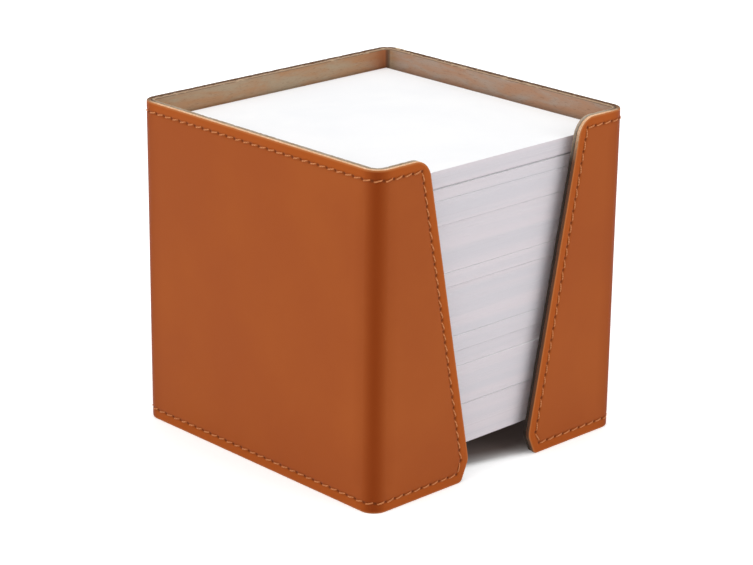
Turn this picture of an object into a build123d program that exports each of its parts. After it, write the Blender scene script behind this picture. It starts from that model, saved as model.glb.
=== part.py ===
from build123d import *
import os

# A memo cube holder: one strip of leather on a stiff lining, bent round four
# upright corners into a box with an open top and a tapering slot in front,
# with a raised floor inside that carries a block of loose note sheets.
# Millimetres, +Z up, the slot faces -Y, the origin is the middle of the foot.

# The block of note sheets, which sets the size of the box
sheet_width = 90.0          # the note sheets are square
sheet_thickness = 0.1
side_play = 1.65            # from the block to the lining, left and right
front_play = 2.55           # from the block to the front flaps
back_play = 0.75            # from the block to the back wall
block_rise = 0.05           # air under the lowest sheet
packet_gap = 0.08           # air between two packets
packet_shift = 0.15         # how far a packet lies off the middle, sideways
packet_draw = 0.30          # and how far towards the slot
packet_turn_degrees = 0.15  # how far a packet may lie askew

# Each packet from the floor up: its name, its count of sheets, and its shift
# in X, its draw towards the slot and its turn, as parts of the most above.
# Loose sheets never lie quite in register.
packets = [
    ("packet_1", 121, 0.7, 0.5, 0.8),
    ("packet_2", 117, -1.0, 1.0, -1.0),
    ("packet_3", 45, 1.0, 0.2, 0.5),
    ("packet_4", 46, -0.3, 0.8, 1.0),
    ("packet_5", 148, 0.7, 0.3, -0.8),
    ("packet_6", 41, -1.0, 0.8, 1.0),
    ("packet_7", 140, 0.3, 0.2, -0.7),
    ("packet_8", 70, -0.7, 0.7, 0.8),
    ("packet_9", 38, 1.0, 0.2, -1.0),
    ("top_packet", 47, 0.0, 1.0, 0.0),
]

# The bent wall
wall_height = 97.0          # foot to rim
leather_thickness = 1.3
lining_thickness = 1.0
glue_gap = 0.05             # between glued faces
lining_foot_gap = 0.3       # the lining ends just above the table
inner_corner_radius = 2.45  # inside the upright corners
slot_foot_half_gap = 10.9   # half of the slot's width at the foot
slot_top_half_gap = 29.9    # and at the rim
flap_corner_radius = 6.0    # rounded corners at the top and foot of each flap

# The raised floor
floor_top = 9.0             # the height that the sheets rest at
skin_thickness = 0.9        # leather that covers the floor board
board_thickness = 2.0
backing_thickness = 0.5     # paper glued under the board
floor_set_back = 6.0        # from the front of the block to the floor's edge
skirt_foot_gap = 0.8        # the turned-down skirt ends above the table
skirt_bend_radius = 1.8     # outside, where the skin turns down
skirt_notch_width = 1.6     # cut out of the skirt at the back corners
turn_in_length = 9.0        # skin turned under the board's front edge
backing_margin = 1.5        # from the backing's edge to the board's edge

os.makedirs("parts", exist_ok=True)

# Places that follow from the sizes above
wall_thickness = leather_thickness + glue_gap + lining_thickness
inner_width = sheet_width + 2 * side_play
inner_depth = sheet_width + front_play + back_play
block_centre_y = (front_play - back_play) / 2
cut_margin = 2 * wall_thickness     # how far a cut runs past what it cuts


def finish(piece, name):
    piece.part.label = name
    export_step(piece.part, f"parts/{name}.step")


def slot_half_gap(height):
    spread = (slot_top_half_gap - slot_foot_half_gap) / wall_height
    return slot_foot_half_gap + spread * height


def bent_strip(inset, thickness, foot_gap):
    """A strip bent round the box, `inset` within its outside, slot and all."""
    outside = wall_thickness - inset
    width = inner_width + 2 * outside
    depth = inner_depth + 2 * outside
    radius = inner_corner_radius + outside
    with BuildPart() as strip:
        with BuildSketch(Plane.XY.offset(foot_gap)):
            RectangleRounded(width, depth, radius)
            RectangleRounded(
                width - 2 * thickness,
                depth - 2 * thickness,
                radius - thickness,
                mode=Mode.SUBTRACT,
            )
        extrude(amount=wall_height - foot_gap)

        # The slot, cut forward from the middle of the box
        low, high = -cut_margin, wall_height + cut_margin
        with BuildSketch(Plane.XZ):
            with BuildLine():
                Polyline(
                    (-slot_half_gap(low), low),
                    (slot_half_gap(low), low),
                    (slot_half_gap(high), high),
                    (-slot_half_gap(high), high),
                    close=True,
                )
            make_face()
        extrude(amount=depth, mode=Mode.SUBTRACT)

        # The four flap corners are the shortest edges that run front to back
        flap_corners = strip.edges().filter_by(Axis.Y).sort_by(SortBy.LENGTH)[:4]
        fillet(flap_corners, flap_corner_radius)
    return strip


# Outer leather and its lining
outer_leather = bent_strip(0, leather_thickness, 0)
finish(outer_leather, "outer_leather")

lining = bent_strip(leather_thickness + glue_gap, lining_thickness, lining_foot_gap)
finish(lining, "lining")

# The floor: a leather skin, flat on top, turned down as a skirt on three sides
# and turned under its board in front
floor_front = block_centre_y - sheet_width / 2 + floor_set_back
floor_back = inner_depth / 2 - glue_gap
half_floor_width = inner_width / 2 - glue_gap
skirt_corner_radius = inner_corner_radius - glue_gap
board_top = floor_top - skin_thickness - glue_gap
board_foot = board_top - board_thickness
turn_in_top = board_foot - glue_gap
turn_in_foot = turn_in_top - skin_thickness


def floor_block(inset, foot, top):
    """A block `inset` within the skin's outside, rounded as the skin folds."""
    half_width = half_floor_width - inset
    front, back = floor_front + inset, floor_back - inset
    with BuildPart() as block:
        with BuildSketch(Plane.XY.offset(foot)):
            with Locations((0, (front + back) / 2)):
                Rectangle(2 * half_width, back - front)
        extrude(amount=top - foot)
        back_corners = block.edges().filter_by(Axis.Z).group_by(Axis.Y)[-1]
        fillet(back_corners, skirt_corner_radius - inset)
        fillet(block.edges().group_by(Axis.Z)[-1], skirt_bend_radius - inset)
    return block


skin_envelope = floor_block(0, skirt_foot_gap, floor_top)
skin_hollow = floor_block(skin_thickness, -cut_margin, floor_top - skin_thickness)
turn_in_half_width = half_floor_width - skin_thickness

with BuildPart() as floor_skin:
    add(skin_envelope.part)
    add(skin_hollow.part, mode=Mode.SUBTRACT)

    # Open in front under the board, then the skin turned in beneath it
    with BuildSketch(Plane.XY.offset(turn_in_foot)):
        with Locations((0, floor_front)):
            Rectangle(2 * turn_in_half_width, 2 * skin_thickness)
    extrude(amount=-floor_top, mode=Mode.SUBTRACT)
    with BuildSketch(Plane.XY.offset(turn_in_foot)):
        with Locations((0, floor_front)):
            Rectangle(2 * turn_in_half_width, turn_in_length, align=(Align.CENTER, Align.MIN))
    extrude(amount=skin_thickness)

    # The skirt is notched at the back corners, so that it folds flat
    with BuildSketch(Plane.XY):
        for side in (-1, 1):
            with Locations(Location((side * half_floor_width, floor_back), side * 45)):
                Rectangle(4 * skirt_corner_radius, skirt_notch_width)
    extrude(amount=floor_top - skirt_bend_radius, mode=Mode.SUBTRACT)
finish(floor_skin, "floor_skin")

floor_board = floor_block(skin_thickness + glue_gap, board_foot, board_top)
finish(floor_board, "floor_board")

backing_front = floor_front + turn_in_length + backing_margin
backing_back = floor_back - skin_thickness - backing_margin
with BuildPart() as floor_backing:
    with BuildSketch(Plane.XY.offset(turn_in_top)):
        with Locations((0, (backing_front + backing_back) / 2)):
            Rectangle(2 * (turn_in_half_width - backing_margin), backing_back - backing_front)
    extrude(amount=-backing_thickness)
finish(floor_backing, "floor_backing")

# The packets of note sheets, one on another
packet_foot = floor_top + block_rise
for name, sheets, shift, draw, turn in packets:
    height = sheets * sheet_thickness
    middle = (shift * packet_shift, block_centre_y - draw * packet_draw, packet_foot)
    seat = Location(middle, (0, 0, turn * packet_turn_degrees))
    with BuildPart() as packet:
        with BuildSketch(Plane(seat)):
            Rectangle(sheet_width, sheet_width)
        extrude(amount=height)
    finish(packet, name)
    packet_foot += height + packet_gap
print(f"the block ends {wall_height - packet_foot + packet_gap:.2f} below the rim")
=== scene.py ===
import math
import random

import bpy
import numpy as np
from mathutils import Matrix, Vector
from mathutils.geometry import delaunay_2d_cdt
from mathutils.kdtree import KDTree


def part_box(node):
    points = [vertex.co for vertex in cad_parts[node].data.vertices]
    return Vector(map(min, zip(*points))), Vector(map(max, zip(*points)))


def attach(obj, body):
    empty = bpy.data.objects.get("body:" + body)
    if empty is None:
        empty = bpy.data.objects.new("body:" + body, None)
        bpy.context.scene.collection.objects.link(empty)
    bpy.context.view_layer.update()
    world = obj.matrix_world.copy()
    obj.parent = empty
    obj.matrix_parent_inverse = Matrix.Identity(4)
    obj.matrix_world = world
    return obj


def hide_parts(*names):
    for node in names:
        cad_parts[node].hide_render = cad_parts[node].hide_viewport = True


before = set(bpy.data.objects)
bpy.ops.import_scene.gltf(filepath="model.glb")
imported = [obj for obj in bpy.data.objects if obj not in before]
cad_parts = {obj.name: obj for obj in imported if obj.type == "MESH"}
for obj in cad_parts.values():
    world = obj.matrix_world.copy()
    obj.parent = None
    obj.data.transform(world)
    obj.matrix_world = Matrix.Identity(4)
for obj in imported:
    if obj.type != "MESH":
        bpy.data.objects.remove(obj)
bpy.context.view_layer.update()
mm = 0.001
print("frame loaded")


def newMaterial(name):
    material = bpy.data.materials.new(name)
    material.use_nodes = True
    tree = material.node_tree
    tree.nodes.clear()
    output = tree.nodes.new("ShaderNodeOutputMaterial")
    shader = tree.nodes.new("ShaderNodeBsdfPrincipled")
    tree.links.new(shader.outputs[0], output.inputs[0])
    return material, tree, shader


def addNode(tree, kind, settings=None, inputs=None):
    node = tree.nodes.new(kind)
    for key, value in (settings or {}).items():
        setattr(node, key, value)
    for key, value in (inputs or {}).items():
        if isinstance(value, bpy.types.NodeSocket):
            tree.links.new(value, node.inputs[key])
        else:
            node.inputs[key].default_value = value
    return node


def mixColour(tree, factor, first, second, blend="MIX"):
    node = addNode(tree, "ShaderNodeMix", {"data_type": "RGBA", "blend_type": blend}, {
        0: factor, 6: first, 7: second})
    return node.outputs[2]


def mapRange(tree, value, bounds, target=(0.0, 1.0)):
    # a smooth step of a value between two bounds
    node = addNode(tree, "ShaderNodeMapRange", {"interpolation_type": "SMOOTHSTEP"}, {
        "Value": value, "From Min": bounds[0], "From Max": bounds[1],
        "To Min": target[0], "To Max": target[1]})
    return node.outputs[0]


def useGroup(tree, group, inputs):
    return addNode(tree, "ShaderNodeGroup", {"node_tree": group}, inputs)


def newGroup(name, inputs, outputs):
    group = bpy.data.node_groups.new(name, "ShaderNodeTree")
    for label, kind, value in inputs:
        socket = group.interface.new_socket(name=label, in_out="INPUT", socket_type=kind)
        if value is not None:
            socket.default_value = value
    for label, kind in outputs:
        group.interface.new_socket(name=label, in_out="OUTPUT", socket_type=kind)
    return group, group.nodes.new("NodeGroupInput"), group.nodes.new("NodeGroupOutput")


def makeGrainGroup():
    # fine leather grain: pores between soft pebbles, and slow shading over the hide
    group, entry, leave = newGroup("hideGrain", [
        ("Vector", "NodeSocketVector", None),
        ("Pebble Scale", "NodeSocketFloat", 900.0),
        ("Cloud Scale", "NodeSocketFloat", 30.0),
    ], [("Height", "NodeSocketFloat"), ("Cloud", "NodeSocketFloat")])
    pebbles = addNode(group, "ShaderNodeTexVoronoi", {"feature": "SMOOTH_F1"}, {
        "Vector": entry.outputs["Vector"], "Scale": entry.outputs["Pebble Scale"]})
    fine = addNode(group, "ShaderNodeTexNoise", None, {
        "Vector": entry.outputs["Vector"], "Scale": entry.outputs["Pebble Scale"], "Detail": 4.0})
    height = addNode(group, "ShaderNodeMath", {"operation": "MULTIPLY_ADD"}, {
        0: pebbles.outputs["Distance"], 1: 0.6, 2: fine.outputs[0]})
    cloud = addNode(group, "ShaderNodeTexNoise", None, {
        "Vector": entry.outputs["Vector"], "Scale": entry.outputs["Cloud Scale"], "Detail": 5.0})
    group.links.new(height.outputs[0], leave.inputs["Height"])
    group.links.new(cloud.outputs[0], leave.inputs["Cloud"])
    return group


def makeFibreGroup():
    # pressed fibres: fine specks and slow patches
    group, entry, leave = newGroup("pressedFibre", [
        ("Vector", "NodeSocketVector", None),
        ("Speck Scale", "NodeSocketFloat", 700.0),
        ("Patch Scale", "NodeSocketFloat", 60.0),
    ], [("Specks", "NodeSocketFloat"), ("Patches", "NodeSocketFloat")])
    specks = addNode(group, "ShaderNodeTexNoise", None, {
        "Vector": entry.outputs["Vector"], "Scale": entry.outputs["Speck Scale"],
        "Detail": 6.0, "Roughness": 0.65, "Distortion": 0.8})
    patches = addNode(group, "ShaderNodeTexNoise", None, {
        "Vector": entry.outputs["Vector"], "Scale": entry.outputs["Patch Scale"],
        "Detail": 6.0, "Roughness": 0.6, "Distortion": 0.5})
    group.links.new(specks.outputs[0], leave.inputs["Specks"])
    group.links.new(patches.outputs[0], leave.inputs["Patches"])
    return group


hideGrain = makeGrainGroup()
pressedFibre = makeFibreGroup()


def stretched(tree, scale=(1, 1, 1)):
    # the object's own coordinates, scaled along each axis
    place = addNode(tree, "ShaderNodeTexCoord")
    mapping = addNode(tree, "ShaderNodeMapping", None, {
        "Vector": place.outputs["Object"], "Scale": scale})
    return mapping.outputs[0]


def useFibre(tree, look):
    fibre = useGroup(tree, pressedFibre, {
        "Vector": stretched(tree, (1, 1, look["streak"])), "Speck Scale": look["speckScale"],
        "Patch Scale": look["patchScale"]})
    return fibre.outputs["Specks"], fibre.outputs["Patches"]


def readMask(tree, name):
    return addNode(tree, "ShaderNodeAttribute", {"attribute_name": name}).outputs["Fac"]


def finishSurface(tree, shader, look, colour, grain, height):
    # colour, roughness that follows a grain, gloss, and bump: its strength and depth in metres
    tree.links.new(colour, shader.inputs["Base Color"])
    rough = mapRange(tree, grain, look["roughGrain"], look["rough"])
    tree.links.new(rough, shader.inputs["Roughness"])
    shader.inputs["Specular IOR Level"].default_value = look["gloss"]
    strength, depth = look["bump"]
    bump = addNode(tree, "ShaderNodeBump", None, {
        "Height": height, "Strength": strength, "Distance": depth})
    tree.links.new(bump.outputs[0], shader.inputs["Normal"])


def smoothTanLeather():
    look = {
        "tan": (0.378, 0.089, 0.0165, 1), "deep": (0.352, 0.077, 0.013, 1),
        # bend: painted shade over the rounded corners
        "edgeBand": (0.40, 0.085, 0.009, 1), "bend": (0.24, 0.040, 0.003, 1),
        # needleHole: painted shade in the needle holes, and the seam's groove a little darker
        "needleHole": (0.15, 0.032, 0.006, 1), "arris": (0.52, 0.19, 0.06, 1),
        "pebbleScale": 1500.0, "cloudScale": 28.0, "cloudRange": (0.35, 0.68),
        "roughGrain": (0.3, 0.7), "rough": (0.47, 0.59), "gloss": 0.08, "bump": (0.25, 0.00006),
    }
    material, tree, shader = newMaterial("smoothTanLeather")
    grain = useGroup(tree, hideGrain, {
        "Vector": stretched(tree), "Pebble Scale": look["pebbleScale"],
        "Cloud Scale": look["cloudScale"]})
    cloud = grain.outputs["Cloud"]
    colour = mixColour(tree, mapRange(tree, cloud, look["cloudRange"]), look["deep"], look["tan"])
    # the arris colour is a painted highlight along the rounded edge
    for label in ("edgeBand", "bend", "needleHole", "arris"):
        colour = mixColour(tree, readMask(tree, label), colour, look[label])
    finishSurface(tree, shader, look, colour, cloud, grain.outputs["Height"])
    return material


def shadedRim(tree, colour, patches, look):
    # the rim of the right and back walls is painted dark as shade, with pale patches of the core
    dark = mixColour(tree, mapRange(tree, patches, look["coreRange"]), look["inShade"], look["core"])
    return mixColour(tree, readMask(tree, "rimShade"), colour, dark)


def slotTone(tree, colour, look):
    # the cut edges beside the slot are darkened: painted shade, with some edge dye on the leather;
    # they are left pale at the rim
    return mixColour(tree, readMask(tree, "slotEdge"), colour, look["slot"])


def rawLeatherEdge():
    look = {
        "peach": (0.82, 0.57, 0.38, 1), "tan": (0.64, 0.37, 0.20, 1),
        # the dark rim colour is painted shade, with pale patches of the core
        "inShade": (0.095, 0.040, 0.015, 1), "core": (0.66, 0.50, 0.32, 1),
        # the slot colour is painted shade on the edges beside the slot, with some edge dye
        "slot": (0.12, 0.052, 0.028, 1), "coreRange": (0.56, 0.64), "streak": 1.0,
        "speckScale": 1400.0, "patchScale": 190.0, "speckRange": (0.4, 0.65),
        "roughGrain": (0.3, 0.7), "rough": (0.75, 0.95), "gloss": 0.2, "bump": (0.6, 0.00015),
    }
    material, tree, shader = newMaterial("rawLeatherEdge")
    specks, patches = useFibre(tree, look)
    light = mixColour(tree, mapRange(tree, specks, look["speckRange"]), look["tan"], look["peach"])
    colour = shadedRim(tree, slotTone(tree, light, look), patches, look)
    finishSurface(tree, shader, look, colour, specks, specks)
    return material


bondedBase = {      # what the bonded surfaces share
    "patchRange": (0.36, 0.66), "speckRange": (0.52, 0.70), "coreRange": (0.56, 0.64),
    "bendShadeRange": (0.7, 1.0), "bendShadeAmount": 0.8,
    "roughGrain": (0.3, 0.7), "gloss": 0.15, "bump": (0.35, 0.0002),
}


def bondedLining(name, ownLook):
    look = {**bondedBase, **ownLook}
    material, tree, shader = newMaterial(name)
    specks, patches = useFibre(tree, look)
    colour = mixColour(tree, mapRange(tree, patches, look["patchRange"]),
                       look["warm"], look["grey"])
    speckled = mapRange(tree, specks, look["speckRange"], (0.0, look["speckAmount"]))
    colour = mixColour(tree, speckled, colour, look["speck"])
    if "backShade" in look:
        shaded = mixColour(tree, 1.0, colour, look["backShade"], "MULTIPLY")
        colour = mixColour(tree, readMask(tree, "backPanel"), colour, shaded)
        colour = mixColour(tree, readMask(tree, "rust"), colour, look["rust"])
        # painted shade in the inside of each bend
        bendShaded = mapRange(tree, readMask(tree, "bend"), look["bendShadeRange"],
                           (0.0, look["bendShadeAmount"]))
        colour = mixColour(tree, bendShaded, colour, look["bendShade"])
    if "inShade" in look:
        # painted shade on the rim and beside the slot
        colour = shadedRim(tree, slotTone(tree, colour, look), patches, look)
        # a painted highlight along the lining's inner arris
        colour = mixColour(tree, readMask(tree, "arris"), colour, look["arris"])
    finishSurface(tree, shader, look, colour, patches, specks)
    return material


def waxedThread():
    look = {
        "light": (0.66, 0.27, 0.105, 1), "shade": (0.46, 0.15, 0.05, 1),
        "twistScale": 900.0, "twistDistortion": 2.0,
        "roughGrain": (0.0, 1.0), "rough": (0.5, 0.65), "gloss": 0.1, "bump": (0.4, 0.00008),
    }
    material, tree, shader = newMaterial("waxedThread")
    twist = addNode(tree, "ShaderNodeTexWave", {"bands_direction": "DIAGONAL"}, {
        "Vector": stretched(tree), "Scale": look["twistScale"],
        "Distortion": look["twistDistortion"], "Detail": 2.0}).outputs[1]
    colour = mixColour(tree, twist, look["shade"], look["light"])
    finishSurface(tree, shader, look, colour, twist, twist)
    return material


def notePaper():
    look = {
        "white": (0.90, 0.90, 0.905, 1), "cool": (0.86, 0.865, 0.88, 1), "streak": 1.0,
        "speckScale": 1800.0, "patchScale": 25.0, "patchRange": (0.3, 0.7),
        "roughGrain": (0.3, 0.7), "rough": (0.75, 0.85), "gloss": 0.2, "bump": (0.12, 0.00003),
    }
    material, tree, shader = newMaterial("notePaperFace")
    specks, patches = useFibre(tree, look)
    colour = mixColour(tree, mapRange(tree, patches, look["patchRange"]),
                       look["cool"], look["white"])
    finishSurface(tree, shader, look, colour, specks, specks)
    return material


def cutSheetEdges():
    # the cut edges are a darker white than the sheets' faces: partly the duller cut paper, partly
    # painted shade on the stack's sides; the fine dark lines are painted shade between the sheets
    look = {
        "light": (0.715, 0.665, 0.70, 1), "shade": (0.66, 0.635, 0.675, 1),
        "line": (0.56, 0.52, 0.55, 1), "lineRange": (0.60, 0.72), "lineAmount": 0.55,
        "lineStretch": (9, 9, 2600), "broadStretch": (6, 6, 260), "broadRange": (0.36, 0.64),
        "roughGrain": (0.3, 0.7), "rough": (0.8, 0.9), "gloss": 0.15, "bump": (0.3, 0.00008),
    }
    material, tree, shader = newMaterial("cutSheetEdges")
    lines = addNode(tree, "ShaderNodeTexNoise", None, {
        "Vector": stretched(tree, look["lineStretch"]), "Scale": 1.0, "Detail": 5.0,
        "Roughness": 0.7}).outputs[0]
    broad = addNode(tree, "ShaderNodeTexNoise", None, {
        "Vector": stretched(tree, look["broadStretch"]), "Scale": 1.0, "Detail": 2.0}).outputs[0]
    colour = mixColour(tree, mapRange(tree, broad, look["broadRange"]),
                       look["shade"], look["light"])
    lined = mapRange(tree, lines, look["lineRange"], (0.0, look["lineAmount"]))
    colour = mixColour(tree, lined, colour, look["line"])
    finishSurface(tree, shader, look, colour, broad, lines)
    return material


liningLook = {
    "grey": (0.39, 0.29, 0.225, 1), "warm": (0.41, 0.225, 0.135, 1),
    "speck": (0.20, 0.11, 0.07, 1), "speckAmount": 0.5, "streak": 5.0,
    "backShade": (0.98, 0.98, 0.84, 1), "rust": (0.36, 0.12, 0.045, 1),
    # painted shade in the inside of the bends
    "bendShade": (0.12, 0.06, 0.035, 1),
    "speckScale": 620.0, "patchScale": 70.0, "rough": (0.42, 0.62),
}
liningEdgeLook = {
    "grey": (0.37, 0.32, 0.26, 1), "warm": (0.30, 0.23, 0.16, 1),
    "speck": (0.12, 0.08, 0.05, 1), "speckAmount": 0.8, "streak": 2.2,
    # the dark rim colour is painted shade, with pale patches of the core
    "inShade": (0.075, 0.036, 0.018, 1), "core": (0.55, 0.42, 0.27, 1),
    # the arris colour is a painted highlight; the near-black slot colour is painted shade
    "arris": (0.50, 0.34, 0.22, 1), "slot": (0.030, 0.020, 0.015, 1),
    "speckScale": 1100.0, "patchScale": 230.0, "rough": (0.7, 0.9),
}
floorSkinLook = {
    "grey": (0.045, 0.030, 0.022, 1), "warm": (0.055, 0.032, 0.020, 1),
    "speck": (0.02, 0.012, 0.008, 1), "speckAmount": 0.6, "streak": 1.0,
    "speckScale": 800.0, "patchScale": 60.0, "rough": (0.5, 0.65),
}
boardLook = {
    "grey": (0.30, 0.26, 0.21, 1), "warm": (0.24, 0.19, 0.14, 1),
    "speck": (0.14, 0.11, 0.08, 1), "speckAmount": 0.7, "streak": 3.0,
    "speckScale": 520.0, "patchScale": 60.0, "rough": (0.85, 0.95),
}
backingLook = {
    "grey": (0.11, 0.085, 0.07, 1), "warm": (0.085, 0.06, 0.045, 1),
    "speck": (0.16, 0.12, 0.09, 1), "speckAmount": 0.3, "streak": 1.0,
    "speckScale": 900.0, "patchScale": 40.0, "rough": (0.8, 0.92),
}
finish = {
    "leather": smoothTanLeather(), "leatherEdge": rawLeatherEdge(),
    "lining": bondedLining("bondedLining", liningLook),
    "liningEdge": bondedLining("liningCutEdge", liningEdgeLook),
    "floorSkin": bondedLining("darkFloorSkin", floorSkinLook),
    "board": bondedLining("greyBoard", boardLook),
    "backing": bondedLining("darkBackingPaper", backingLook),
    "thread": waxedThread(), "sheet": notePaper(), "sheetEdge": cutSheetEdges(),
}
print("materials made")


wall = {
    "cornerRadius": 4.8 * mm,       # outside the upright corners
    "slotFootHalfGap": 10.9 * mm,
    "slotTopHalfGap": 29.9 * mm,
    "flapCornerRadius": 6.0 * mm,   # at the rim
    "footCutRun": 4.0 * mm,         # at the foot the flap's corner is cut off steeply,
    "footCutRise": 6.4 * mm,
    "footCutRadii": (1.8 * mm, 4.0 * mm),       # and rounded, at the foot and at the slot
    "leastRadius": 0.6 * mm,        # of a corner well within the edge
    "outlineStep": 0.35 * mm,       # between points round the edge
    "gridStep": 4.0 * mm,           # between points over the flat faces
    "bendStep": 0.5 * mm,           # across a bend
    "gridMargin": 1.0 * mm,         # from the last ring to the points inside it
    "gridCorners": 240,             # of the ring, for telling what lies inside
    "edgeSteps": 4,                 # round each arris of a cut edge
    "liningFootGap": 0.3 * mm,
    "glueLine": 0.05 * mm,
}
seam = {
    "inset": 3.0 * mm,              # from the cut edge to the stitches
    "pitch": 3.4 * mm,
    "stitchShare": 0.765,           # of the way from hole to hole
    "lengthSpread": (0.95, 1.04),   # of the stitches, which aren't all alike
    "slant": 0.27 * mm,             # each stitch runs a little across the seam
    "slantSpread": (0.7, 1.3),
    "threadWidth": 0.44 * mm,
    "widthShares": (0.55, 0.45),    # at a stitch's ends, and added in its middle
    "threadHeight": 0.34 * mm,
    "heightShares": (0.6, 0.4),
    "archPower": 3.2,               # the higher, the flatter the middle of a stitch
    "archRise": 0.52,               # in thread heights
    "archSink": 0.30,
    "grooveShare": 0.4,             # of the groove's depth that the stitches lie in
    "endDip": 0.20 * mm,            # into the needle holes
    "endPower": 6,
    "sides": 8,
    "rings": 9,
    "seed": 21,
    "grooveDepth": 0.12 * mm,
    "grooveWidth": 0.6 * mm,
    "holeDepth": 0.28 * mm,
    "holeWidth": 0.36 * mm,
    # how dark the needle holes are painted, as shade, and how much darker the seam's groove is,
    # over what width
    "holeShade": 1.25,
    "grooveDarken": 0.22,
    "grooveDarkWidth": 0.5 * mm,
}
wearAndShade = {        # where the strips change their look: wear, and painted shade
    "bandFrom": 2.7 * mm, "bandFade": 0.7 * mm,     # the band between cut edge and seam
    "bendWidth": 0.42,                              # of a bend's length, for the painted shade over it
    "darkFrom": 0.82, "darkRise": 6,                # the rim painted in shade, in half widths of the box
    "slotShadeTop": 0.99, "slotShadeFade": 0.12,                # the painted shade on the cut edges at the slot, in heights
    "panelFrom": 0.86, "panelFade": 0.06,           # the back wall's inside, in half depths
    "rustReach": 9 * mm,                            # along the back wall, from its right bend
    "pressReach": 1.3 * mm,                         # the leather is pressed thin at its edge
    "raggedReach": 0.25 * mm,                       # how far in from the edge it is ragged
    "innerStretch": 1.3,                            # the slow waves are closer inside
    "flatInset": 9 * mm,                            # counts for the whole of a flat face
}
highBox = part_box("outer_leather")[1]
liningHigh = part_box("lining")[1]
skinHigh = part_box("floor_skin")[1]
halfWidth, halfDepth, height = highBox.x, highBox.y, highBox.z
liningStart = highBox.x - liningHigh.x
leatherDepth = liningStart - wall["glueLine"]
wallDepth = highBox.x - skinHigh.x - wall["glueLine"]


def spanTable():
    # lengths along the outside from the middle of the back to the middle of the front
    r = wall["cornerRadius"]
    arc = r * math.pi / 2
    return [halfWidth - r, arc, 2 * (halfDepth - r), arc, halfWidth - r]


spans = spanTable()
halfRun = sum(spans)


def clamp(value):
    return max(0.0, min(1.0, value))


def bentPlace(along, depth):
    # place and outward normal at a run `along` the outside, `depth` within it
    side = 1 if along >= 0 else -1
    run = abs(along)
    r = wall["cornerRadius"]
    cx, cy = halfWidth - r, halfDepth - r
    if run < spans[0]:
        x, y, nx, ny = run, halfDepth, 0.0, 1.0
    elif run < spans[0] + spans[1]:
        turn = (run - spans[0]) / r
        nx, ny = math.sin(turn), math.cos(turn)
        x, y = cx + r * nx, cy + r * ny
    elif run < sum(spans[:3]):
        x, y, nx, ny = halfWidth, cy - (run - spans[0] - spans[1]), 1.0, 0.0
    elif run < sum(spans[:4]):
        turn = (run - sum(spans[:3])) / r
        nx, ny = math.cos(turn), -math.sin(turn)
        x, y = cx + r * nx, -cy + r * ny
    else:
        x, y, nx, ny = cx - (run - sum(spans[:4])), -halfDepth, 0.0, -1.0
    return side * (x - depth * nx), y - depth * ny, side * nx, ny


def bendAmount(along):
    # 1 in the middle of a bend, 0 well away from it
    run = abs(along)
    amount = 0.0
    for middle in (spans[0] + spans[1] / 2, sum(spans[:3]) + spans[3] / 2):
        amount += math.exp(-((run - middle) / (wearAndShade["bendWidth"] * spans[1])) ** 2)
    return amount


def patternCorners(foot):
    # corners of the flat pattern, counterclockwise, and their radii
    footEnd = halfRun - wall["slotFootHalfGap"]
    topEnd = halfRun - wall["slotTopHalfGap"]
    rise = wall["footCutRise"]
    cutTop = footEnd - (footEnd - topEnd) / height * rise
    cutFoot = footEnd - wall["footCutRun"]
    half = [(cutFoot + (cutTop - cutFoot) * foot / rise, foot), (cutTop, rise), (topEnd, height)]
    radii = [*wall["footCutRadii"], wall["flapCornerRadius"]]
    mirrored = [(-x, z) for x, z in reversed(half)]
    return [Vector(c) for c in half + mirrored], radii + radii[::-1]


def cornerTurns(corners):
    # at each corner: the way in, the outward normals before and after, half the turn
    turns = []
    for i, corner in enumerate(corners):
        wayIn = (corner - corners[i - 1]).normalized()
        wayOut = (corners[(i + 1) % len(corners)] - corner).normalized()
        normalIn, normalOut = Vector((wayIn.y, -wayIn.x)), Vector((wayOut.y, -wayOut.x))
        turns.append((wayIn, normalIn, normalOut, wayIn.angle(wayOut) / 2))
    return turns


def drawnIn(corners, inset):
    # the same pattern, smaller by `inset` all round
    return [corner - (normalIn + normalOut) * inset / (1 + normalIn.dot(normalOut))
            for corner, (_, normalIn, normalOut, _) in zip(corners, cornerTurns(corners))]


def patternRing(foot, inset):
    # points and outward directions round the pattern, `inset` within its edge
    edge, radii = patternCorners(foot)
    corners = drawnIn(edge, inset)
    arcs = []
    for corner, r, (wayIn, normalIn, normalOut, half) in zip(corners, radii, cornerTurns(corners)):
        steps = max(4, round(r * 2 * half / wall["outlineStep"]))
        r = max(r - inset, wall["leastRadius"])
        centre = corner - wayIn * r * math.tan(half) - normalIn * r
        arcs.append((centre, r, normalIn, normalOut, steps))
    points, outs = [], []
    for i, (centre, r, normalIn, normalOut, steps) in enumerate(arcs):
        for k in range(steps):
            out = normalIn.slerp(normalOut, k / steps)
            points.append(centre + out * r)
            outs.append(out)
        following = (i + 1) % len(arcs)
        nextCentre, nextRadius, nextNormal = arcs[following][:3]
        start, end = centre + normalOut * r, nextCentre + nextNormal * nextRadius
        steps = round((edge[following] - edge[i]).length / wall["outlineStep"])
        for k in range(steps):
            points.append(start.lerp(end, k / steps))
            outs.append(normalOut)
    return np.array(points), np.array(outs)


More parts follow.
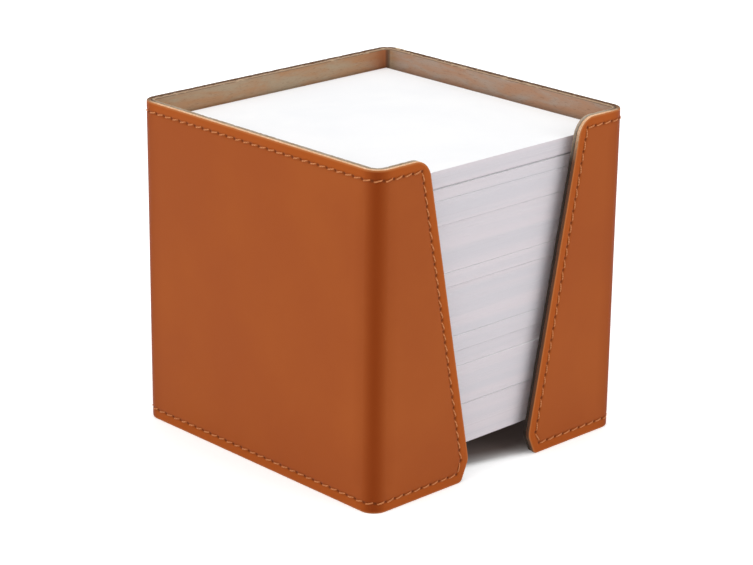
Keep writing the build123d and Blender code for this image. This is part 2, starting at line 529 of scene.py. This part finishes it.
def gridPlaces(foot):
    # inner points of the flat pattern: close columns at the bends, wide ones between
    columns, place = [], 0.0
    bends = ((spans[0], spans[0] + spans[1]), (sum(spans[:3]), sum(spans[:4])))
    marks = [0.0, bends[0][0], bends[0][1], bends[1][0], bends[1][1], halfRun]
    for k in range(5):
        step = wall["bendStep"] if k in (1, 3) else wall["gridStep"]
        count = max(1, math.ceil((marks[k + 1] - marks[k]) / step))
        columns += [marks[k] + (marks[k + 1] - marks[k]) * i / count for i in range(count)]
    columns = [-c for c in reversed(columns[1:])] + columns
    rows = np.arange(foot + wall["gridStep"], height, wall["gridStep"])
    return [(c, float(z)) for c in columns for z in rows]


def insideRing(point, ring, margin):
    # the ring is convex, counterclockwise
    edges = np.roll(ring, -1, axis=0) - ring
    lengths = np.hypot(edges[:, 0], edges[:, 1])
    rel = np.array(point) - ring
    cross = (edges[:, 0] * rel[:, 1] - edges[:, 1] * rel[:, 0]) / lengths
    return cross.min() > margin


def fillFlat(ring, foot):
    # triangles over the flat pattern inside a ring
    corners = ring[:: max(1, len(ring) // wall["gridCorners"])]
    inner = [p for p in gridPlaces(foot) if insideRing(p, corners, wall["gridMargin"])]
    places = [Vector(p) for p in ring] + [Vector(p) for p in inner]
    count = len(ring)
    edges = [(i, (i + 1) % count) for i in range(count)]
    insideOnly, tolerance = 1, 1e-9
    result = delaunay_2d_cdt(places, edges, [list(range(count))], insideOnly, tolerance)
    return result[0], result[2], result[3]


def sewSeam():
    # the seam's corners, and its needle holes: one at each corner, the rest evenly between
    corners = drawnIn(patternCorners(0.0)[0], seam["inset"])
    holes = []
    for i, start in enumerate(corners):
        end = corners[(i + 1) % len(corners)]
        count = round((end - start).length / seam["pitch"])
        holes += [start.lerp(end, k / count) for k in range(count)]
    return corners, holes


def fromSeam(place, corners):
    # distance from a place on the pattern to the seam
    reach = []
    for i, start in enumerate(corners):
        side = corners[(i + 1) % len(corners)] - start
        share = clamp((place - start).dot(side) / side.length_squared)
        reach.append((start + side * share - place).length)
    return min(reach)


def slowWave(along, z):
    # a slow unevenness between 0 and 1; the rates are in radians a metre
    crossed = math.sin(61 * along + 1.3) * math.cos(47 * z + 0.4)
    return 0.5 + 0.25 * crossed + 0.25 * math.sin(29 * along - 83 * z + 2.1)


def darkRim(x, y):
    # 1 on the right and back walls, falling to 0 a little past their ends: where the rim is
    # painted in shade and more ragged
    return clamp(wearAndShade["darkRise"] * max(x / halfWidth - wearAndShade["darkFrom"],
                                        y / halfDepth - wearAndShade["darkFrom"]))


def edgeLayers(outer, inner, look):
    # the rings of each face: inset from the edge, depth in the wall, and which face
    r, steps = look["edgeRadius"], wall["edgeSteps"]
    arris = []
    for k in range(1, steps + 1):
        angle = math.pi / 2 * k / steps
        arris.append((r * (1 - math.cos(angle)), outer + r * (1 - math.sin(angle)), 0))
    outerLayers = arris + [(d * mm, outer, 0) for d in look["insets"]]
    innerLayers = [(d, inner - (t - outer), 1) for d, t, _ in arris] + [
        (d * mm, inner, 1) for d in look["innerInsets"]]
    return outerLayers, innerLayers


def edgeFray(outline, outs, outer, look):
    # how far each point of the cut edge may lie in
    rng = random.Random(look["seed"])
    rough = [rng.uniform(-1, 1) for _ in range(len(outline))]
    rough = np.convolve(np.tile(rough, 3), np.ones(3) / 3, "same")[len(rough):2 * len(rough)]
    fray = []
    for point, out, amount in zip(outline, outs, rough):
        x, y, _, _ = bentPlace(point[0], outer)
        rim = look["rimFray"] * max(0.0, out[1]) * darkRim(x, y)
        fray.append(look["ragged"] * (1 + rim) * amount)
    return fray


def addPiece(name, vertices, faces, finishes, slots=None, smooth=False):
    mesh = bpy.data.meshes.new(name)
    mesh.from_pydata(vertices, [], faces)
    if slots:
        mesh.polygons.foreach_set("material_index", slots)
    if smooth:
        mesh.polygons.foreach_set("use_smooth", [True] * len(faces))
    mesh.update()
    piece = bpy.data.objects.new(name, mesh)
    bpy.context.scene.collection.objects.link(piece)
    for material in finishes:
        mesh.materials.append(material)
    return piece


def makeStrip(name, outer, inner, foot, look):
    # a closed bent strip: outer face, rounded cut edge, inner face
    outline, outs = patternRing(foot, 0.0)
    fray = edgeFray(outline, outs, outer, look)
    seamCorners, holes = sewSeam()
    nearHoles = KDTree(len(holes))
    for i, hole in enumerate(holes):
        nearHoles.insert((hole.x, hole.y, 0.0), i)
    nearHoles.balance()
    vertices, faces, slots, masks = [], [], [], {}

    def addVertex(place, depth, inset, face, sideways):
        along, z = place
        sink = holeMask = 0.0
        if face == 0 and look["sewn"] and inset < look["seamReach"]:
            offset = fromSeam(Vector(place), seamCorners)
            fromHole = nearHoles.find((along, z, 0.0))[2]
            # painted shade in the needle holes, and the seam's groove a little darker
            near = math.exp(-(fromHole / seam["holeWidth"]) ** 2)
            grooveDark = seam["grooveDarken"] * math.exp(-(offset / seam["grooveDarkWidth"]) ** 2)
            sink += seam["grooveDepth"] * math.exp(-(offset / seam["grooveWidth"]) ** 2)
            sink += seam["holeDepth"] * near
            holeMask = min(1.0, seam["holeShade"] * near + grooveDark)
        if face == 0:
            sink += look["wave"] * slowWave(along, z)
            sink += look["press"] * math.exp(-inset / wearAndShade["pressReach"])
            depth += sink
        else:
            depth -= look["wave"] * slowWave(along * wearAndShade["innerStretch"], z)
        x, y, _, _ = bentPlace(along, depth)
        vertices.append((x, y, z))
        # painted shade on the cut edges beside the slot, below the rim
        inShade = abs(sideways) * clamp((wearAndShade["slotShadeTop"] - z / height) / wearAndShade["slotShadeFade"])
        # the rounded arris is painted lighter as a highlight, less so where the slot's painted
        # shade lies
        highlit = look["arrisHighlight"] * (1 - look["arrisSlotShade"] * inShade)
        onArris = inset < look["edgeRadius"] and face == look["arrisFace"]
        panel = clamp((y / halfDepth - wearAndShade["panelFrom"]) / wearAndShade["panelFade"])
        fromBend = along - spans[0] - spans[1] / 2
        # the masks: painted shade over the bends, in the needle holes, on the rim of the right and
        # back walls and beside the slot; a painted highlight on the arris
        for label, value in (
            ("edgeBand", clamp(1 - (inset - wearAndShade["bandFrom"]) / wearAndShade["bandFade"])),
            ("bend", bendAmount(along)),
            ("needleHole", holeMask),
            ("rimShade", darkRim(x, y)),
            ("arris", highlit if onArris else 0.0),
            ("slotEdge", inShade),
            ("backPanel", panel if face == 1 else 0.0),
            ("rust", math.exp(-(fromBend / wearAndShade["rustReach"]) ** 2) if fromBend < 0 else 0.0),
        ):
            masks.setdefault(label, []).append(value)
        return len(vertices) - 1

    def addRing(inset, depth, face):
        reach = math.exp(-inset / wearAndShade["raggedReach"])
        return [addVertex(point - out * max(0.0, amount * reach), depth, inset, face, out[0])
                for point, out, amount in zip(patternRing(foot, inset)[0], outs, fray)]

    outerLayers, innerLayers = edgeLayers(outer, inner, look)
    outerRings = [addRing(*layer) for layer in outerLayers]
    innerRings = [addRing(*layer) for layer in innerLayers]
    middleRing = addRing(0.0, (outer + inner) / 2, 2)
    chain = outerRings[::-1] + [middleRing] + innerRings
    cutFrom = len(outerRings) - wall["edgeSteps"] + look["edgeKeep"]
    cutTo = len(outerRings) + wall["edgeSteps"] - look["edgeKeep"]
    count = len(outline)
    for level, (first, second) in enumerate(zip(chain, chain[1:])):
        for i in range(count):
            j = (i + 1) % count
            faces.append((first[i], second[i], second[j], first[j]))
            slots.append(1 if cutFrom <= level <= cutTo else 0)
    places, triangles, origins = fillFlat(patternRing(foot, look["insets"][-1] * mm)[0], foot)
    for ring, depth, face in ((outerRings[-1], outer, 0), (innerRings[-1], inner, 1)):
        index = []
        for place, origin in zip(places, origins):
            if origin and origin[0] < count:
                index.append(ring[origin[0]])
            else:
                index.append(addVertex((place.x, place.y), depth, wearAndShade["flatInset"], face, 0.0))
        for triangle in triangles:
            corners = [index[k] for k in triangle]
            faces.append(corners if face == 0 else corners[::-1])
            slots.append(0)
    finishes = [finish[key] for key in look["finishes"]]
    piece = addPiece(name, vertices, faces, finishes, slots, True)
    for label, values in masks.items():
        layer = piece.data.attributes.new(label, "FLOAT", "POINT")
        layer.data.foreach_set("value", values)
    piece.data.validate()
    piece.data.update()
    return piece


leatherLook = {
    "edgeRadius": 0.35 * mm, "sewn": True, "wave": 0.05 * mm, "press": 0.06 * mm,
    "ragged": 0.06 * mm, "seed": 5, "finishes": ("leather", "leatherEdge"),
    "edgeKeep": 2,      # steps of each arris that keep the face's finish
    # how strongly the arris is painted as a highlight, and how much the slot's painted shade takes
    # it away
    "arrisFace": 0, "arrisHighlight": 0.55, "arrisSlotShade": 0.0, "rimFray": 1.0,
    "seamReach": 5.0 * mm,
    "insets": (0.7, 1.1, 1.5, 1.9, 2.2, 2.45, 2.65, 2.85, 3.0, 3.15, 3.35, 3.55, 3.8, 4.2, 4.8,
               5.6),
    "innerInsets": (0.7, 1.5, 3.0, 5.6),    # the glued side is plain
}
liningStripLook = {
    "edgeRadius": 0.2 * mm, "sewn": False, "wave": 0.04 * mm, "press": 0.0,
    "ragged": 0.16 * mm, "seed": 11, "finishes": ("lining", "liningEdge"), "edgeKeep": 0,
    # how strongly the arris is painted as a highlight, and how much the slot's painted shade takes
    # it away
    "arrisFace": 1, "arrisHighlight": 0.8, "arrisSlotShade": 1.0, "rimFray": 0.8,
    "insets": (0.5, 1.0, 2.0, 3.5, 5.5), "innerInsets": (0.5, 1.0, 2.0, 3.5, 5.5),
}
leatherWall = makeStrip("leatherWall", 0.0, leatherDepth, 0.0, leatherLook)
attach(leatherWall, "holder")
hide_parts("outer_leather")
print("leather wall", len(leatherWall.data.polygons), "faces")

liningWall = makeStrip("liningWall", liningStart, wallDepth, wall["liningFootGap"],
                       liningStripLook)
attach(liningWall, "holder")
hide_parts("lining")
print("lining wall", len(liningWall.data.polygons), "faces")


def makeSeamThread():
    # one arched stitch from each needle hole towards the next
    holes = sewSeam()[1]
    sides, rings = seam["sides"], seam["rings"]
    vertices, faces = [], []
    rng = random.Random(seam["seed"])
    for start, end in zip(holes, holes[1:] + holes[:1]):
        way = end - start
        long = seam["stitchShare"] * rng.uniform(*seam["lengthSpread"])
        slant = seam["slant"] * rng.uniform(*seam["slantSpread"])
        across = Vector((way.y, -way.x)).normalized()
        first = len(vertices)
        for k in range(rings):
            t = 2 * k / (rings - 1) - 1
            place = start.lerp(end, 0.5 + t * long / 2) + across * slant * t
            arch = 1 - abs(t) ** seam["archPower"]
            lift = seam["threadHeight"] * (seam["archRise"] * arch - seam["archSink"])
            lift -= seam["grooveDepth"] * seam["grooveShare"]
            lift -= seam["endDip"] * abs(t) ** seam["endPower"]
            endWidth, moreWidth = seam["widthShares"]
            width = seam["threadWidth"] / 2 * (endWidth + moreWidth * math.sqrt(max(0.0, arch)))
            endHeight, moreHeight = seam["heightShares"]
            thick = seam["threadHeight"] / 2 * (endHeight + moreHeight * arch)
            for m in range(sides):
                angle = 2 * math.pi * m / sides
                spot = place + across * width * math.cos(angle)
                x, y, _, _ = bentPlace(spot[0], -(lift + thick * math.sin(angle)))
                vertices.append((x, y, spot[1]))
        for k in range(rings - 1):
            for m in range(sides):
                a = first + k * sides + m
                b = first + k * sides + (m + 1) % sides
                faces.append((a, b, b + sides, a + sides))
        faces.append(tuple(first + m for m in reversed(range(sides))))
        faces.append(tuple(first + (rings - 1) * sides + m for m in range(sides)))
    return addPiece("seamThread", vertices, faces, [finish["thread"]], smooth=True)


seamThread = makeSeamThread()
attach(seamThread, "holder")
print("stitches", len(sewSeam()[1]))


sheets = {
    "slabLow": 0.25 * mm, "slabHigh": 1.1 * mm,     # sheets that lie in one batch
    "batchShift": 0.022 * mm, "sheetGap": 0.008 * mm, "batchTurn": math.radians(0.05),
    # the last sheets of a packet lie drawn in: how thick they are, and how deep
    "groove": (0.12 * mm, 0.12 * mm),
    "grooves": {"packet_9": (0.55 * mm, 0.75 * mm), "packet_1": (0.16 * mm, 0.25 * mm),
                "top_packet": (0.0, 0.0)},
    "leastBatch": 0.0001 * mm,
    "seed": 100,        # of packet_1; each next packet has the next number
}
packetNames = [f"packet_{k}" for k in range(1, 10)] + ["top_packet"]


def packetCorners(name):
    # the four upright edges of a packet, counterclockwise from above
    places = {(round(v.co.x, 6), round(v.co.y, 6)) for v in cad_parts[name].data.vertices}
    return sorted(places, key=lambda p: math.atan2(p[1], p[0]))


def makeSheets(name, seed):
    low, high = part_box(name)
    corners = packetCorners(name)
    rng = random.Random(seed)
    vertices, faces, slots = [], [], []
    thin, deep = sheets["grooves"].get(name, sheets["groove"])
    batches = []        # foot, top, and how far drawn in
    z = low.z
    while z < high.z - thin - sheets["leastBatch"]:
        top = z + rng.uniform(sheets["slabLow"], sheets["slabHigh"])
        if high.z - thin - top < sheets["slabLow"]:
            top = high.z - thin
        batches.append((z, top, 0.0))
        z = top
    if thin:
        batches.append((z, high.z, deep))
    for z, top, drawn in batches:
        dx = rng.uniform(-1, 1) * sheets["batchShift"]
        dy = rng.uniform(-1, 1) * sheets["batchShift"]
        turn = rng.uniform(-1, 1) * sheets["batchTurn"]
        share = 1 - 2 * drawn / (high.x - low.x)
        a, b, c, d, e, f, g, h = range(len(vertices), len(vertices) + 8)
        for level in (z, top - (0 if top == high.z else sheets["sheetGap"])):
            for x, y in corners:
                vertices.append(((x - turn * y) * share + dx, (y + turn * x) * share + dy, level))
        faces += [(d, c, b, a), (e, f, g, h)]
        faces += [(a, b, f, e), (b, c, g, f), (c, d, h, g), (d, a, e, h)]
        slots += [0, 0, 1, 1, 1, 1]
    finishes = [finish["sheet"], finish["sheetEdge"]]
    piece = addPiece(name + "_sheets", vertices, faces, finishes, slots)
    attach(piece, name)
    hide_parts(name)


for number, name in enumerate(packetNames):
    makeSheets(name, sheets["seed"] + number)
print("packets of sheets", len(packetNames))


plainFinishes = {"floor_skin": "floorSkin", "floor_board": "board", "floor_backing": "backing"}
for node, key in plainFinishes.items():
    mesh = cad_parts[node].data
    mesh.materials.clear()
    mesh.materials.append(finish[key])


stageLook = {
    "half": 2.2, "white": (0.93, 0.93, 0.93, 1), "roughness": 0.9, "gloss": 0.0,
    "paintedShadow": (0.26, 0.21, 0.195, 1), "paintedShadowRange": (35 * mm, 46 * mm),        # painted shadow on the table inside the box
    "slotReach": 12 * mm, "slotSkew": 0.28,     # the painted shadow and painted light at the slot's foot end aslant
    # painted light: the table glows faintly under the box, rising to full at the slot's foot and
    # outside the box
    "glowInside": (0.020, 0.0145, 0.013, 1), "glowOutside": (0.38, 0.38, 0.38, 1),
    "slotGlow": (41.0 * mm, 45.4 * mm), "outerGlow": (45.5 * mm, 50.5 * mm),
    "farGlow": 3.2, "farRange": (0.2, 0.9),     # where the lamps no longer reach
}


def largerOf(tree, first, second):
    return addNode(tree, "ShaderNodeMath", {"operation": "MAXIMUM"}, {
        0: first, 1: second}).outputs[0]


def sizeOf(tree, value):
    return addNode(tree, "ShaderNodeMath", {"operation": "ABSOLUTE"}, {0: value}).outputs[0]


def seenDirectly(tree):
    # 1 for what is looked at, also in a gloss or through something, 0 for the light it spreads
    path = addNode(tree, "ShaderNodeLightPath")
    seen = largerOf(tree, path.outputs["Is Camera Ray"], path.outputs["Is Glossy Ray"])
    return largerOf(tree, seen, path.outputs["Is Transmission Ray"])


def makeTable():
    # a table with a painted shadow inside the box's footprint, pale outside it
    half = stageLook["half"]
    material, tree, shader = newMaterial("paleTableTop")
    shader.inputs["Roughness"].default_value = stageLook["roughness"]
    shader.inputs["Specular IOR Level"].default_value = stageLook["gloss"]
    place = addNode(tree, "ShaderNodeTexCoord")
    split = addNode(tree, "ShaderNodeSeparateXYZ", None, {0: place.outputs["Object"]})
    reach = largerOf(tree, sizeOf(tree, split.outputs[0]), sizeOf(tree, split.outputs[1]))
    sideways = addNode(tree, "ShaderNodeClamp", None, {
        "Value": split.outputs[0], "Min": -stageLook["slotReach"], "Max": stageLook["slotReach"]})
    aslant = addNode(tree, "ShaderNodeMath", {"operation": "MULTIPLY_ADD"}, {
        0: sideways.outputs[0], 1: -stageLook["slotSkew"], 2: reach}).outputs[0]
    clear = mapRange(tree, aslant, stageLook["paintedShadowRange"])
    top = mixColour(tree, clear, stageLook["paintedShadow"], stageLook["white"])
    tree.links.new(top, shader.inputs["Base Color"])
    near = largerOf(tree, mapRange(tree, aslant, stageLook["slotGlow"]),
                    mapRange(tree, reach, stageLook["outerGlow"]))
    glow = mixColour(tree, near, stageLook["glowInside"], stageLook["glowOutside"])
    tree.links.new(glow, shader.inputs["Emission Color"])
    far = mapRange(tree, reach, stageLook["farRange"], (1.0, stageLook["farGlow"]))
    strength = addNode(tree, "ShaderNodeMath", {"operation": "MULTIPLY"}, {
        0: seenDirectly(tree), 1: far})
    tree.links.new(strength.outputs[0], shader.inputs["Emission Strength"])
    corners = [(-half, -half, 0), (half, -half, 0), (half, half, 0), (-half, half, 0)]
    table = addPiece("paleTable", corners, [(0, 1, 2, 3)], [material])


def makeWorld(ambient):
    world = bpy.data.worlds.new("paleRoom")
    bpy.context.scene.world = world
    world.use_nodes = True
    tree = world.node_tree
    tree.nodes.clear()
    output = tree.nodes.new("ShaderNodeOutputWorld")
    strength = addNode(tree, "ShaderNodeMapRange", None, {
        "Value": seenDirectly(tree), "To Min": ambient, "To Max": 1.0})
    glow = addNode(tree, "ShaderNodeBackground", None, {
        "Color": (1, 1, 1, 1), "Strength": strength.outputs[0]})
    tree.links.new(glow.outputs[0], output.inputs[0])


def addSoftLight(name, place, size, power):
    data = bpy.data.lights.new(name, "AREA")
    data.shape = "RECTANGLE"
    data.size, data.size_y = size
    data.energy = power
    light = bpy.data.objects.new(name, data)
    bpy.context.scene.collection.objects.link(light)
    light.location = place
    aim = Vector((0, 0, height / 2)) - Vector(place)
    light.rotation_euler = aim.to_track_quat("-Z", "Y").to_euler()


lights = {
    "ambient": 0.40,
    "soft": (
        ("leftSoftbox", (-1.1, 0.15, 0.55), (0.9, 0.9), 5.2),
        ("frontSoftbox", (0.45, -1.1, 0.55), (0.9, 0.9), 5.2),
        ("overheadSoftbox", (0.0, 0.0, 1.3), (1.2, 1.2), 9.5),
    ),
}
makeTable()
makeWorld(lights["ambient"])
for light in lights["soft"]:
    addSoftLight(*light)

view = {
    "azimuth": -43.76, "elevation": 19.28, "roll": 0.67,
    "distance": 0.6821, "focalPixels": 2400.0,
    "target": (-0.01194, -0.01064, 0.0485),
    "imageWidth": 753, "sensorWidth": 36.0, "clip": (0.01, 20),
}


def makeCamera():
    turn, rise, roll = (math.radians(view[k]) for k in ("azimuth", "elevation", "roll"))
    back = Vector((math.sin(turn) * math.cos(rise), -math.cos(turn) * math.cos(rise),
                   math.sin(rise)))
    right = Vector((0, 0, 1)).cross(back).normalized()
    up = back.cross(right)
    rolledRight = right * math.cos(roll) + up * math.sin(roll)
    rolledUp = up * math.cos(roll) - right * math.sin(roll)
    data = bpy.data.cameras.new("photoCamera")
    data.sensor_width = view["sensorWidth"]
    data.lens = view["focalPixels"] / view["imageWidth"] * view["sensorWidth"]
    data.clip_start, data.clip_end = view["clip"]
    camera = bpy.data.objects.new("photoCamera", data)
    bpy.context.scene.collection.objects.link(camera)
    basis = Matrix((rolledRight, rolledUp, back)).transposed().to_4x4()
    place = Vector(view["target"]) + back * view["distance"]
    camera.matrix_world = Matrix.Translation(place) @ basis
    bpy.context.scene.camera = camera


makeCamera()
bpy.context.scene.view_settings.view_transform = "Standard"
print("scene ready")
